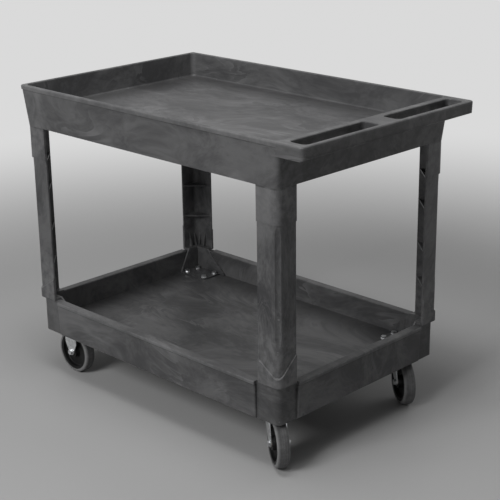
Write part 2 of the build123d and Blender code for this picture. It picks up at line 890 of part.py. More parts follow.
left_leg = leg()
all_washers = []
for corner, (end, side) in corners.items():
    save(f"leg_{corner}", to_corner(left_leg, corner))
    bolts, nuts, washers = caster_bolts(corner)
    save(f"caster_bolts_{corner}", bolts)
    save(f"caster_nuts_{corner}", nuts)
    all_washers += washers

    x, y = caster_centre(corner)
    swivels = end > 0
    plate_place = Pos(x, y, 0)
    fork_place = plate_place * Rot(0, 0, swivel_rest_angle) if swivels else plate_place
    wheel_place = fork_place * Pos(swivel_offset, 0, 0) if swivels else fork_place
    save(f"fork_{corner}", fork_place * (swivel_fork() if swivels else rigid_fork()))
    for name, piece in wheel_pieces().items():
        save(f"{name}_{corner}", wheel_place * piece)
    if swivels:
        save(f"swivel_plate_{corner}", plate_place * swivel_plate())
        save(f"king_bolt_{corner}", plate_place * king_bolt())
        save(f"king_nut_{corner}", plate_place * king_nut())
        save(f"lower_race_{corner}", plate_place * lower_race())
        upper = ball_ring(upper_ball_pitch, upper_ball_radius, upper_ball_level(), upper_ball_count)
        lower = ball_ring(lower_ball_pitch, lower_ball_radius, lower_ball_level(), lower_ball_count)
        save(f"upper_balls_{corner}", [fork_place * ball for ball in upper])
        save(f"lower_balls_{corner}", [fork_place * ball for ball in lower])
save("caster_washers", all_washers)
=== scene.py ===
"""Looks of a two-shelf rolling utility cart: its moulded, pressed and turned finishes, and its fasteners."""

import json
import logging
import math
from dataclasses import dataclass
from enum import Enum
from functools import reduce
from typing import Any, Mapping

import bmesh
import bpy
from mathutils import Matrix, Vector


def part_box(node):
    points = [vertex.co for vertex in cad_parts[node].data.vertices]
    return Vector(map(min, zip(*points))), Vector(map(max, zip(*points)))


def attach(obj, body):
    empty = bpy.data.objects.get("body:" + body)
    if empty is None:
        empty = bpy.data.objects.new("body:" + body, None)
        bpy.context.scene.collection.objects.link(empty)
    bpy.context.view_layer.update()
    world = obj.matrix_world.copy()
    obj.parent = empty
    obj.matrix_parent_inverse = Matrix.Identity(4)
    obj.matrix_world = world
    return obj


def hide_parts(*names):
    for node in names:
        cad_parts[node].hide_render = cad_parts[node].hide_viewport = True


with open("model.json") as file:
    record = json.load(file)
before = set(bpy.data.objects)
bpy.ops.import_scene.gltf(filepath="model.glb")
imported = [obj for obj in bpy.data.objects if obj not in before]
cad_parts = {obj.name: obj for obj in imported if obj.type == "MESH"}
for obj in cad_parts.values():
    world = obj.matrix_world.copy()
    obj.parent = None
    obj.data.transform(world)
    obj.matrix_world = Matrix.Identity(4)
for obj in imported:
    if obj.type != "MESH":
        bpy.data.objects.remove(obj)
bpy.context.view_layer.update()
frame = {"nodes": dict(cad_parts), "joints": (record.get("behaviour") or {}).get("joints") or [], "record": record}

LOG = logging.getLogger("cart")
HEX_SIDES = 6
CREASE_ANGLE = math.radians(32)
MERGE_DISTANCE = 0.00001
WHITE = (1.0, 1.0, 1.0)
MIDDLE = (0.5, 0.5, 0.5)
IN_PLAN = (1.0, 1.0, 0.0)

BMesh = bmesh.types.BMesh
Material = bpy.types.Material
Colour = tuple[float, float, float]
Triple = tuple[float, float, float]
Span = tuple[float, float]


class Value:
    """A shader socket that takes part in Python arithmetic."""

    def __init__(self, graph: "Graph", socket: bpy.types.NodeSocket) -> None:
        """Wrap one output socket of a node in graph."""
        self.graph = graph
        self.socket = socket

    def __add__(self, other: "Value | float") -> "Value":
        """Sum of two values."""
        return self.graph.maths("ADD", self, other)

    __radd__ = __add__

    def __sub__(self, other: "Value | float") -> "Value":
        """This value less another."""
        return self.graph.maths("SUBTRACT", self, other)

    def __rsub__(self, other: float) -> "Value":
        """A number less this value."""
        return self.graph.maths("SUBTRACT", other, self)

    def __mul__(self, other: "Value | float") -> "Value":
        """Product of two values."""
        return self.graph.maths("MULTIPLY", self, other)

    __rmul__ = __mul__

    def __abs__(self) -> "Value":
        """Size of this value, without its sign."""
        return self.graph.maths("ABSOLUTE", self)

    def over(self, span: Span) -> "Value":
        """This value, which runs from 0 to 1, spread over a span."""
        return span[0] + (span[1] - span[0]) * self

    def output(self, name: str) -> "Value":
        """Another output of the same node."""
        return Value(self.graph, self.socket.node.outputs[name])


class Graph:
    """The node tree of a material or of the world."""

    def __init__(self, tree: bpy.types.NodeTree) -> None:
        """Start with an empty tree."""
        self.tree = tree
        tree.nodes.clear()

    def node(
        self,
        kind: str,
        settings: Mapping[str, Any] | None = None,
        sockets: Mapping[str | int, Any] | None = None,
        out: str | int = 0,
    ) -> Value | None:
        """Add one node.

        Args:
            kind: the node's type.
            settings: properties that are set before the sockets.
            sockets: values or links, by socket name or number.
            out: the output that is handed back.

        Returns:
            The chosen output, or None for a node that has no outputs.
        """
        made = self.tree.nodes.new(kind)
        for name, setting in (settings or {}).items():
            setattr(made, name, setting)
        for key, value in (sockets or {}).items():
            target = made.inputs[key]
            if isinstance(value, Value):
                self.tree.links.new(value.socket, target)
            elif target.type == "RGBA":
                target.default_value = (*value, 1.0)
            else:
                target.default_value = value
        return Value(self, made.outputs[out]) if made.outputs else None

    def maths(self, operation: str, *operands: Value | float) -> Value:
        """One step of arithmetic on numbers."""
        return self.node("ShaderNodeMath", {"operation": operation}, dict(enumerate(operands)))

    def largest(self, first: Value, *others: Value) -> Value:
        """The largest of some values."""
        return reduce(lambda one, other: self.maths("MAXIMUM", one, other), others, first)

    def vector(self, operation: str, *operands: Any, out: int = 0) -> Value:
        """One step of arithmetic on vectors."""
        return self.node("ShaderNodeVectorMath", {"operation": operation}, dict(enumerate(operands)), out)

    def scaled(self, vector: Value | Triple, amount: Value | float) -> Value:
        """A vector times a number."""
        return self.node("ShaderNodeVectorMath", {"operation": "SCALE"}, {0: vector, "Scale": amount})

    def smooth(self, value: Value, span: Span) -> Value:
        """Soft step from 0 at the start of a span to 1 at its end."""
        sockets = {"Value": value, "From Min": span[0], "From Max": span[1]}
        return self.node("ShaderNodeMapRange", {"interpolation_type": "SMOOTHSTEP"}, sockets)

    def mix(self, share: Value | float, first: Value | Colour, second: Value | Colour) -> Value:
        """Colour between first, at a share of 0, and second, at 1."""
        return self.node("ShaderNodeMix", {"data_type": "RGBA"}, {0: share, 6: first, 7: second}, 2)

    def place(self) -> Value:
        """Place on the object, in metres."""
        return self.node("ShaderNodeTexCoord", out="Object")

    def facing(self) -> Value:
        """Direction that the surface faces, in the object's own axes."""
        return self.node("ShaderNodeTexCoord", out="Normal")

    def seen(self) -> Value:
        """1 for rays that the camera sees straight, mirrored or through glass, and 0 for others."""
        path = self.node("ShaderNodeLightPath", out="Is Camera Ray")
        return self.largest(path, path.output("Is Glossy Ray"), path.output("Is Transmission Ray"))

    def shader(self, **sockets: Any) -> Value:
        """A principled shader, with its sockets named by words joined with underscores."""
        named = {name.replace("_", " "): value for name, value in sockets.items()}
        return self.node("ShaderNodeBsdfPrincipled", None, named)

    def finish(self, **sockets: Any) -> None:
        """End a material in one principled shader."""
        self.node("ShaderNodeOutputMaterial", None, {"Surface": self.shader(**sockets)})


class Finish:
    """A finish that is made into one material."""

    name: str

    def fill(self, g: Graph) -> None:
        """Add the finish's nodes to an empty graph."""
        raise NotImplementedError

    def make(self) -> Material:
        """Build the material.

        Returns:
            The finished material.
        """
        material = bpy.data.materials.new(self.name)
        material.use_nodes = True
        self.fill(Graph(material.node_tree))
        return material


@dataclass(frozen=True)
class Clouds:
    """Cloudy noise: scale per metre, detail layers, their strength, twist, and squeeze along each axis."""

    scale: float
    detail: float
    rough: float = 0.55
    twist: float = 0.0
    squeeze: Triple | None = None

    def value(self, g: Graph, place: Value) -> Value:
        """Noise over a surface, whose other output is a colour.

        Args:
            g: the graph that grows.
            place: where on the surface.

        Returns:
            A value about 0.5.
        """
        if self.squeeze:
            place = g.vector("MULTIPLY", place, self.squeeze)
        sockets = {
            "Vector": place,
            "Scale": self.scale,
            "Detail": self.detail,
            "Roughness": self.rough,
            "Distortion": self.twist,
        }
        return g.node("ShaderNodeTexNoise", None, sockets)


@dataclass(frozen=True)
class Patches:
    """Clouds that are cut to patches by a soft step."""

    clouds: Clouds
    step: Span

    def mask(self, g: Graph, place: Value) -> Value:
        """1 in the patches, and 0 between them."""
        return g.smooth(self.clouds.value(g, place), self.step)


@dataclass(frozen=True)
class Relief:
    """Small hills on a surface: how strongly they show, and their height in metres."""

    strength: float
    height: float

    def normal(self, g: Graph, hills: Value) -> Value:
        """Direction that the hilly surface faces."""
        sockets = {"Strength": self.strength, "Distance": self.height, "Height": hills}
        return g.node("ShaderNodeBump", None, sockets)


@dataclass(frozen=True)
class Zone:
    """A box on a moulding, open along each axis that has no span, with soft edges."""

    x: Span | None = None
    y: Span | None = None
    z: Span | None = None
    fade: float = 0.0012
    share: float = 1.0

    def mask(self, g: Graph, place: Value) -> Value | float:
        """How strongly the zone holds over a surface.

        Args:
            g: the graph that grows.
            place: where on the surface.

        Returns:
            The zone's share inside the box, and 0 outside it.
        """
        axes = g.node("ShaderNodeSeparateXYZ", None, {0: place})
        inside = self.share
        for axis, span in (("X", self.x), ("Y", self.y), ("Z", self.z)):
            if span:
                low, high = span
                along = axes.output(axis)
                inside *= g.smooth(along, (low - self.fade, low)) - g.smooth(along, (high, high + self.fade))
        return inside


Zones = tuple[Zone, ...]


def within(zones: Zones, g: Graph, place: Value) -> Value | float:
    """Shares of some zones, added up."""
    return sum(zone.mask(g, place) for zone in zones)


class Flow(Enum):
    """Way that the melt ran in the mould, as how fast the pattern changes along each axis."""

    ALONG = (0.5, 1.0, 1.0)
    UPRIGHT = (1.0, 1.0, 0.4)


@dataclass(frozen=True)
class Facing:
    """Ways that a moulding faces: its upward slope, and masks of level, outer and bent places."""

    up: Value
    level: Value
    outside: Value
    bend: Value


@dataclass(frozen=True)
class MouldedPlastic(Finish):
    """Satin structural foam: dark grey, with paler clouds and wisps where the melt flowed.

    The zones say where it is lightened by wear and painted highlight, where it is darkened by painted shade and
    a darker tone, where it has paler patches, where a floor is, and the middle of a floor that is left without
    its painted shade. A step is where a mask sets in, a range holds a mark's least and greatest strength, and a
    share is a single strength.
    """

    name: str
    flow: Flow
    rims: Zones = ()
    # Zones of painted shade, under rim beads, in grooves, at the handle end and where legs meet trays, and of
    # darker places.
    shade_and_dirt: Zones = ()
    # Zones of paler blotchy patches.
    pale_patches: Zones = ()
    floor: Zones = ()
    # Middle of each floor, left without the painted shade near the walls.
    unshaded_middle: Zones = ()
    dark: Colour = (0.058, 0.058, 0.060)
    pale: Colour = (0.122, 0.122, 0.124)
    wispy: Colour = (0.185, 0.185, 0.188)
    # Pale colour of wear, scratches and dust, also used for painted highlight on rims and edges.
    wear_and_highlight: Colour = (0.24, 0.24, 0.243)
    # Dark colour of the painted shade and of the darker places.
    shade_and_dirt_colour: Colour = (0.022, 0.022, 0.022)
    drift: Clouds = Clouds(3.0, 2.0)
    drift_reach: float = 0.4
    clouds: Clouds = Clouds(6.0, 5.0, 0.6)
    streaks: Clouds = Clouds(60.0, 3.0, 0.6, 0.6)
    streak_share: float = 0.25
    tone_step: Span = (0.38, 0.64)
    wisps: Clouds = Clouds(8.0, 3.0, 0.5, 1.2)
    wisp_folds: float = 5.0
    wisp_edge_step: Span = (0.9, 1.0)
    wisp_step: Span = (0.35, 0.95)
    wisp_patches: Patches = Patches(Clouds(7.0, 2.0), (0.46, 0.66))
    wisp_share: float = 0.62
    blots: Patches = Patches(Clouds(48.0, 4.0, 0.6), (0.36, 0.66))
    pale_patch_range: Span = (0.15, 0.60)
    level_step: Span = (0.9, 0.99)
    outward_step: Span = (0.0, 0.1)
    bend_step: Span = (0.03, 0.2)
    rising_step: Span = (0.1, 0.45)
    chips: Patches = Patches(Clouds(34.0, 5.0, 0.65), (0.40, 0.64))
    # Strengths of the lightening on rims and edges, partly wear and partly painted highlight.
    rim_wear_and_highlight_range: Span = (0.13, 0.29)
    edge_range: Span = (0.15, 1.0)
    edge_share: float = 0.4
    away_from_rims_share: float = 0.3
    cove_calm: float = 0.8
    nicks: Patches = Patches(Clouds(90.0, 2.0), (0.64, 0.72))
    nick_share: float = 0.5
    # Strength range of the painted shade and darker places.
    shade_and_dirt_range: Span = (0.25, 0.65)
    scratches: tuple[Patches, ...] = (
        Patches(Clouds(1.0, 2.0, squeeze=(9.0, 160.0, 9.0)), (0.70, 0.76)),
        Patches(Clouds(1.0, 2.0, squeeze=(150.0, 12.0, 9.0)), (0.71, 0.77)),
    )
    scratch_share: float = 0.35
    dust: Patches = Patches(Clouds(2.4, 3.0), (0.42, 0.72))
    dust_share: float = 0.22
    floor_step: Span = (0.2, 0.9)
    # Strength of the painted shade on the floors near their walls.
    wall_shade_share: float = 0.5
    grain: Clouds = Clouds(900.0, 2.0)
    grain_share: float = 0.4
    relief: Relief = Relief(0.2, 0.0008)
    roughness: float = 0.5
    tone_gloss: float = 0.1
    worn_roughness: float = 0.1
    dust_roughness: float = 0.06
    specular: float = 0.3

    def _melt(self, g: Graph, place: Value) -> tuple[Value, Value]:
        """Marks of the melt that ran in the mould.

        Args:
            g: the graph that grows.
            place: where on the moulding.

        Returns:
            The cloudy tone, and the curved wisps, sharp along one side, that cross it in places.
        """
        flowing = g.vector("MULTIPLY", place, self.flow.value)
        drift = g.vector("SUBTRACT", self.drift.value(g, flowing).output("Color"), MIDDLE)
        swirled = g.vector("ADD", flowing, g.scaled(drift, self.drift_reach))
        clouds = self.clouds.value(g, swirled) * (1 - self.streak_share)
        tone = g.smooth(clouds + self.streaks.value(g, swirled) * self.streak_share, self.tone_step)
        folds = g.maths("FRACT", self.wisp_folds * self.wisps.value(g, swirled))
        crests = g.smooth(folds * (1 - g.smooth(folds, self.wisp_edge_step)), self.wisp_step)
        return tone, crests * self.wisp_patches.mask(g, place) * self.wisp_share

    def _facing(self, g: Graph, place: Value) -> Facing:
        """Ways that the surface faces.

        Args:
            g: the graph that grows.
            place: where on the moulding.

        Returns:
            The upward slope and the masks that follow from the surface's direction.
        """
        facing = g.facing()
        sides = g.node("ShaderNodeSeparateXYZ", None, {0: facing})
        up = sides.output("Z")
        outward = g.vector("DOT_PRODUCT", facing, g.vector("MULTIPLY", place, IN_PLAN), out=1)
        squarest = g.largest(abs(sides), abs(sides.output("Y")), abs(up))
        return Facing(
            up=up,
            level=g.smooth(up, self.level_step),
            outside=g.smooth(outward, self.outward_step),
            bend=g.smooth(1 - squarest, self.bend_step),
        )

    def _wear_and_highlight(self, g: Graph, place: Value, facing: Facing, chips: Value, on_floor: Value | float) -> Value:
        """Pale wear on rims and edges, partly real wear and partly painted highlight on the rim bands and on
        upward-facing edges.

        Args:
            g: the graph that grows.
            place: where on the moulding.
            facing: ways that the surface faces.
            chips: mask of the places that wear most.
            on_floor: mask of the floors, whose coves get the least of this lightening.

        Returns:
            How strongly wear and painted highlight lighten the surface.
        """
        rim = within(self.rims, g, place)
        # Rim band: partly rubbing wear, partly painted highlight where the rim bead catches light.
        rim_wear_and_highlight = rim * facing.outside * (1 - facing.level) * chips.over(self.rim_wear_and_highlight_range)
        near_rims = self.away_from_rims_share + (1 - self.away_from_rims_share) * rim
        # Upward-facing bent edges: partly wear, partly painted highlight.
        edged = facing.bend * g.smooth(facing.up, self.rising_step) * chips.over(self.edge_range)
        edged = edged * near_rims * self.edge_share * (1 - self.cove_calm * on_floor)
        nicked = self.nick_share * facing.bend * self.nicks.mask(g, place)
        return g.largest(rim_wear_and_highlight, edged, nicked)

    def fill(self, g: Graph) -> None:
        """Add the nodes of this finish.

        Args:
            g: the material's graph.
        """
        place = g.place()
        facing = self._facing(g, place)
        chips = self.chips.mask(g, place)
        dust = self.dust.mask(g, place)
        on_floor = within(self.floor, g, place)

        tone, wisps = self._melt(g, place)
        colour = g.mix(wisps, g.mix(tone, self.dark, self.pale), self.wispy)
        blots = self.blots.mask(g, place).over(self.pale_patch_range)
        colour = g.mix(within(self.pale_patches, g, place) * blots, colour, self.wispy)
        # Lighter rims and edges: partly wear, partly painted highlight.
        wear_and_highlight = self._wear_and_highlight(g, place, facing, chips, on_floor)
        colour = g.mix(wear_and_highlight, colour, self.wear_and_highlight)
        # Painted shade along the listed lines, grooves and handle end, and the darker places.
        dirty_and_shaded = within(self.shade_and_dirt, g, place) * facing.outside * chips.over(self.shade_and_dirt_range)
        colour = g.mix(dirty_and_shaded, colour, self.shade_and_dirt_colour)
        scratched = sum(marks.mask(g, place) for marks in self.scratches)
        marked = facing.level * (self.scratch_share * scratched + self.dust_share * dust)
        colour = g.mix(marked, colour, self.wear_and_highlight)
        # Painted shade on the floors near their walls, left out of the middle.
        if self.floor:
            wall_shade = on_floor - within(self.unshaded_middle, g, place)
            darkened = self.wall_shade_share * g.smooth(facing.up, self.floor_step) * wall_shade
            colour = g.mix(darkened, colour, self.shade_and_dirt_colour)

        roughness = self.roughness - self.tone_gloss * tone + self.worn_roughness * wear_and_highlight
        hills = self.grain.value(g, place) * self.grain_share + tone * (1 - self.grain_share)
        g.finish(
            Base_Color=colour,
            Roughness=roughness + self.dust_roughness * facing.level * dust,
            Specular_IOR_Level=self.specular,
            Normal=self.relief.normal(g, hills),
        )


@dataclass(frozen=True)
class ZincPlate(Finish):
    """Bright zinc on pressed steel: faint spangle, drawing marks and dull spots."""

    name: str
    base: Colour = (0.60, 0.61, 0.62)
    bright: Colour = (0.78, 0.79, 0.80)
    dull: Colour = (0.36, 0.36, 0.365)
    spangle_scale: float = 150.0
    haze: Clouds = Clouds(26.0, 5.0)
    haze_share: float = 0.5
    bright_step: Span = (0.2, 0.8)
    spots: Patches = Patches(Clouds(95.0, 6.0, 0.7), (0.58, 0.74))
    spot_share: float = 0.7
    spot_height: float = 0.4
    drawing: Clouds = Clouds(1.0, 2.0, squeeze=(900.0, 900.0, 60.0))
    relief: Relief = Relief(0.12, 0.0003)
    roughness: float = 0.3
    haze_roughness: float = 0.16
    spot_roughness: float = 0.2

    def fill(self, g: Graph) -> None:
        """Add the nodes of this finish.

        Args:
            g: the material's graph.
        """
        place = g.place()
        cells = g.node("ShaderNodeTexVoronoi", None, {"Vector": place, "Scale": self.spangle_scale}, "Color")
        shade = g.node("ShaderNodeSeparateColor", None, {0: cells})
        haze = self.haze.value(g, place)
        spots = self.spots.mask(g, place)
        shine = (1 - self.haze_share) * shade + self.haze_share * haze
        colour = g.mix(g.smooth(shine, self.bright_step), self.base, self.bright)
        hills = self.drawing.value(g, place) + self.spot_height * spots
        g.finish(
            Base_Color=g.mix(self.spot_share * spots, colour, self.dull),
            Metallic=1.0,
            Roughness=self.roughness + self.haze_roughness * haze + self.spot_roughness * spots,
            Normal=self.relief.normal(g, hills),
        )


@dataclass(frozen=True)
class Turned:
    """A place and an axis that a round finish follows."""

    centre: Vector
    axis: Vector

    def section(self, g: Graph) -> tuple[Value, Value]:
        """Place on the half section that was turned about the axis.

        Args:
            g: the graph that grows.

        Returns:
            The place, as the distances from the axis and along it, and the distance along it alone.
        """
        arm = g.vector("SUBTRACT", g.place(), tuple(self.centre))
        along = g.vector("DOT_PRODUCT", arm, tuple(self.axis), out=1)
        spoke = g.vector("SUBTRACT", arm, g.scaled(tuple(self.axis), along))
        radius = g.vector("LENGTH", spoke, out=1)
        return g.node("ShaderNodeCombineXYZ", None, {0: radius, 1: along}), along


@dataclass(frozen=True)
class TreadRubber(Finish):
    """Grey tyre: a running face with scuff marks, and paler dusty shoulders near the edges of its width."""

    name: str
    turned: Turned
    half_width: float
    base: Colour = (0.135, 0.135, 0.137)
    dusty: Colour = (0.28, 0.28, 0.282)
    dark: Colour = (0.055, 0.055, 0.056)
    shoulder_from: float = 0.62
    shoulder_to: float = 0.98
    shoulder_range: Span = (0.35, 0.85)
    clouds: Clouds = Clouds(55.0, 5.0, 0.6)
    scuffs: Clouds = Clouds(420.0, 3.0)
    scuff_share: float = 0.4
    scuff_height: float = 0.6
    tone_step: Span = (0.3, 0.7)
    grit: Patches = Patches(Clouds(420.0, 3.0, 0.7), (0.6, 0.7))
    grit_share: float = 0.4
    relief: Relief = Relief(0.2, 0.0004)
    roughness_range: Span = (0.62, 0.82)
    specular: float = 0.4

    def fill(self, g: Graph) -> None:
        """Add the nodes of this finish.

        Args:
            g: the material's graph.
        """
        place = g.place()
        section, along = self.turned.section(g)
        shoulder_step = (self.shoulder_from * self.half_width, self.shoulder_to * self.half_width)
        shoulder = g.smooth(abs(along), shoulder_step)
        scuffs = self.scuffs.value(g, section)
        clouds = self.clouds.value(g, place)
        grit = self.grit.mask(g, place)
        tone = g.smooth((1 - self.scuff_share) * clouds + self.scuff_share * scuffs, self.tone_step)
        colour = g.mix(tone, self.dark, self.base)
        colour = g.mix(shoulder * clouds.over(self.shoulder_range), colour, self.dusty)
        g.finish(
            Base_Color=g.mix(self.grit_share * grit * (1 - shoulder), colour, self.dusty),
            Roughness=clouds.over(self.roughness_range),
            Specular_IOR_Level=self.specular,
            Normal=self.relief.normal(g, self.scuff_height * scuffs + grit),
        )


@dataclass(frozen=True)
class WheelPlastic(Finish):
    """Black moulded wheel centre with faint turning rings and dust in its dish."""

    name: str
    turned: Turned
    base: Colour = (0.008, 0.008, 0.0083)
    dusty: Colour = (0.06, 0.059, 0.058)
    rings: Clouds = Clouds(900.0, 2.0)
    dust: Patches = Patches(Clouds(40.0, 5.0, 0.65), (0.46, 0.74))
    dust_share: float = 0.25
    dust_height: float = 0.5
    relief: Relief = Relief(0.12, 0.0003)
    roughness_range: Span = (0.42, 0.72)
    specular: float = 0.2

    def fill(self, g: Graph) -> None:
        """Add the nodes of this finish.

        Args:
            g: the material's graph.
        """
        section, _ = self.turned.section(g)
        dust = self.dust.mask(g, g.place())
        g.finish(
            Base_Color=g.mix(self.dust_share * dust, self.base, self.dusty),
            Roughness=dust.over(self.roughness_range),
            Specular_IOR_Level=self.specular,
            Normal=self.relief.normal(g, self.rings.value(g, section) + self.dust_height * dust),
        )


@dataclass(frozen=True)
class SmoothMetal(Finish):
    """Ground, turned or sintered metal that mostly hides inside the casters."""

    name: str
    base: Colour
    dirty_and_shaded: Colour
    roughness: float
    film: Patches = Patches(Clouds(120.0, 5.0, 0.65), (0.4, 0.72))
    film_share: float = 0.6
    film_roughness: float = 0.25
    marks: Clouds = Clouds(1400.0, 2.0)
    relief: Relief = Relief(0.08, 0.0002)

    def fill(self, g: Graph) -> None:
        """Add the nodes of this finish.

        Args:
            g: the material's graph.
        """
        place = g.place()
        film = self.film.mask(g, place)
        g.finish(
            Base_Color=g.mix(self.film_share * film, self.base, self.dirty_and_shaded),
            Metallic=1.0,
            Roughness=self.roughness + self.film_roughness * film,
            Normal=self.relief.normal(g, self.marks.value(g, place)),
        )


@dataclass(frozen=True)
class PaleFloor(Finish):
    """Plain matt studio floor that fades into the background far away."""

    background: Colour
    name: str = "studio_floor"
    base: Colour = (0.45, 0.45, 0.45)
    cloudy: Colour = (0.485, 0.485, 0.485)
    clouds: Clouds = Clouds(1.3, 4.0)
    roughness: float = 0.6
    specular: float = 0.2
    far_step: Span = (1.1, 3.2)

    def fill(self, g: Graph) -> None:
        """Add the nodes of this finish.

        Args:
            g: the material's graph.
        """
        place = g.place()
        colour = g.mix(self.clouds.value(g, place), self.base, self.cloudy)
        near = g.shader(Base_Color=colour, Roughness=self.roughness, Specular_IOR_Level=self.specular)
        far = g.node("ShaderNodeEmission", None, {"Color": self.background})
        away = g.smooth(g.vector("LENGTH", place, out=1), self.far_step)
        both = g.node("ShaderNodeMixShader", None, {0: away * g.seen(), 1: near, 2: far})
        g.node("ShaderNodeOutputMaterial", None, {"Surface": both})


class Metals:
    """The made metals that the casters and fasteners share."""

    def __init__(self) -> None:
        """Make each metal once."""
        self.pressing = ZincPlate("zinc_pressing").make()
        self.fastener = ZincPlate("zinc_fastener", base=(0.66, 0.67, 0.68), roughness=0.24).make()
        self.steel = SmoothMetal("hard_steel", (0.55, 0.56, 0.57), (0.20, 0.18, 0.15), 0.22).make()
        self.bronze = SmoothMetal("bearing_bronze", (0.55, 0.38, 0.20), (0.20, 0.14, 0.08), 0.36).make()


class Corner(Enum):
    """A corner of the cart, as seen by a person who pushes it."""

    FRONT_LEFT = "front_left"
    FRONT_RIGHT = "front_right"
    REAR_LEFT = "rear_left"
    REAR_RIGHT = "rear_right"

    def named(self, piece: str) -> str:
        """Name of a piece at this corner."""
        return f"{piece}_{self.value}"

    def end(self) -> int:
        """1 at the handle end, and -1 at the front."""
        return 1 if self.value.startswith("rear") else -1

    def side(self) -> int:
        """1 on the right, and -1 on the left."""
        return 1 if self.value.endswith("right") else -1


def body_with(node: str) -> str:
    """Name of the body that carries a CAD node."""
    bodies = frame["record"]["behaviour"]["bodies"]
    return next(body for body, nodes in bodies.items() if node in nodes)


def dress_node(node: str, material: Material) -> None:
    """Give a CAD node one material.

    Args:
        node: the node's name.
        material: its finish.
    """
    for slot in frame["nodes"][node].material_slots:
        slot.material = material
    LOG.info("%s dressed in %s", node, material.name)


def mesh_of(name: str, shape: BMesh) -> bpy.types.Mesh:
    """Turn a shape into a mesh.

    Args:
        name: the mesh's name.
        shape: the shape, which is freed.

    Returns:
        The mesh.
    """
    mesh = bpy.data.meshes.new(name)
    shape.to_mesh(mesh)
    shape.free()
    return mesh


def add_object(name: str, data: bpy.types.ID) -> bpy.types.Object:
    """Put a mesh, lamp or camera in the scene.

    Args:
        name: the object's name.
        data: the mesh, lamp or camera.

    Returns:
        The object.
    """
    made = bpy.data.objects.new(name, data)
    bpy.context.scene.collection.objects.link(made)
    return made


def add_fastener(name: str, shape: BMesh, material: Material, node: str) -> None:
    """Turn a finished shape into a piece that stands for a CAD node.

    Args:
        name: the piece's name.
        shape: its mesh, in place.
        material: its finish.
        node: the CAD node that it replaces, whose body it rides on.
    """
    mesh = mesh_of(name, shape)
    mesh.shade_smooth()
    mesh.set_sharp_from_angle(angle=CREASE_ANGLE)
    mesh.materials.append(material)
    piece = add_object(name, mesh)
    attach(piece, body_with(node))
    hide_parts(node)
    LOG.info("%s stands for %s", name, node)


def shift(shape: BMesh, by: Triple | Vector) -> None:
    """Move a whole shape."""
    bmesh.ops.translate(shape, verts=shape.verts, vec=by)


def turn_about(shape: BMesh, axis: str, angle: float) -> None:
    """Turn a whole shape about a main axis, by an angle in radians."""
    bmesh.ops.rotate(shape, verts=shape.verts, matrix=Matrix.Rotation(angle, 3, axis))


def join(shape: BMesh, other: BMesh) -> None:
    """Add a closed shape to another, with its faces outwards.

    Args:
        shape: the shape that grows.
        other: the shape that is added, and freed.
    """
    bmesh.ops.recalc_face_normals(other, faces=other.faces)
    carrier = mesh_of("carrier", other)
    shape.from_mesh(carrier)
    bpy.data.meshes.remove(carrier)


@dataclass(frozen=True)
class HexForm:
    """A chamfered hexagon along Z: the head of a bolt, or a nut when it has a bore.

    The chamfer leaves a round face, whose radius is a share of the width across flats. Each step of a collar
    has its shrink in plan and its share of the collar's height.
    """

    flats: float
    height: float
    bore: float = 0.0
    collar: float = 0.0
    edge_cuts: int = 3
    face_share: float = 0.47
    inset_share: float = 0.05
    chamfer_angle: float = 30.0
    collar_steps: tuple[tuple[float, float], ...] = ((0.96, 0.0), (1.0, 0.75), (0.86, 0.25))
    collar_inset: float = 0.0001
    bore_inset: float = 0.0002

    def corner_width(self) -> float:
        """Width across two opposite corners."""
        return self.flats / math.cos(math.pi / HEX_SIDES)

    def _round_end(self, form: BMesh, way: float) -> bmesh.types.BMFace:
        """Chamfer one end to a round face.

        Args:
            form: the hexagon.
            way: 1 for the upper end, -1 for the lower.

        Returns:
            The round face that is left.
        """
        end = max(form.faces, key=lambda face: way * face.calc_center_median().z)
        bmesh.ops.subdivide_edges(form, edges=list(end.edges), cuts=self.edge_cuts)
        end = max(form.faces, key=lambda face: way * face.calc_center_median().z)
        outer = list(end.verts)
        bmesh.ops.inset_region(form, faces=[end], thickness=self.inset_share * self.flats)
        radius = self.face_share * self.flats
        for vert in end.verts:
            vert.co.xy = vert.co.xy.normalized() * radius
        fall = math.tan(math.radians(self.chamfer_angle))
        for vert in outer:
            vert.co.z -= way * fall * (vert.co.xy.length - radius)
        return end

    def _raise_collar(self, form: BMesh, end: bmesh.types.BMFace) -> None:
        """Draw the upper end up into the collar of a lock nut.

        Args:
            form: the hexagon.
            end: its round upper face.
        """
        for shrink, rise in self.collar_steps:
            bmesh.ops.inset_region(form, faces=[end], thickness=self.collar_inset)
            for vert in end.verts:
                vert.co.xy *= shrink
                vert.co.z += rise * self.collar

    def _cut_bore(self, form: BMesh, ends: list[bmesh.types.BMFace]) -> None:
        """Open a round hole between the two ends.

        Args:
            form: the hexagon.
            ends: its two round faces.
        """
        loops = []
        for end in ends:
            bmesh.ops.inset_region(form, faces=[end], thickness=self.bore_inset)
            for vert in end.verts:
                vert.co.xy = vert.co.xy.normalized() * self.bore
            loops += list(end.edges)
        bmesh.ops.delete(form, geom=ends, context="FACES_ONLY")
        bmesh.ops.bridge_loops(form, edges=loops)

    def build(self, shape: BMesh, base: float, turn: float = 0.0) -> None:
        """Add the hexagon to a shape, standing on a level.

        Args:
            shape: the mesh that it joins.
            base: level of its lower end.
            turn: turn about Z, in radians.
        """
        form = bmesh.new()
        half = self.corner_width() / 2
        bmesh.ops.create_cone(
            form, cap_ends=True, segments=HEX_SIDES, radius1=half, radius2=half, depth=self.height
        )
        ends = [self._round_end(form, way) for way in (1.0, -1.0)]
        if self.collar:
            self._raise_collar(form, ends[0])
        if self.bore:
            self._cut_bore(form, ends)
        turn_about(form, "Z", turn)
        shift(form, (0, 0, base + self.height / 2))
        join(shape, form)


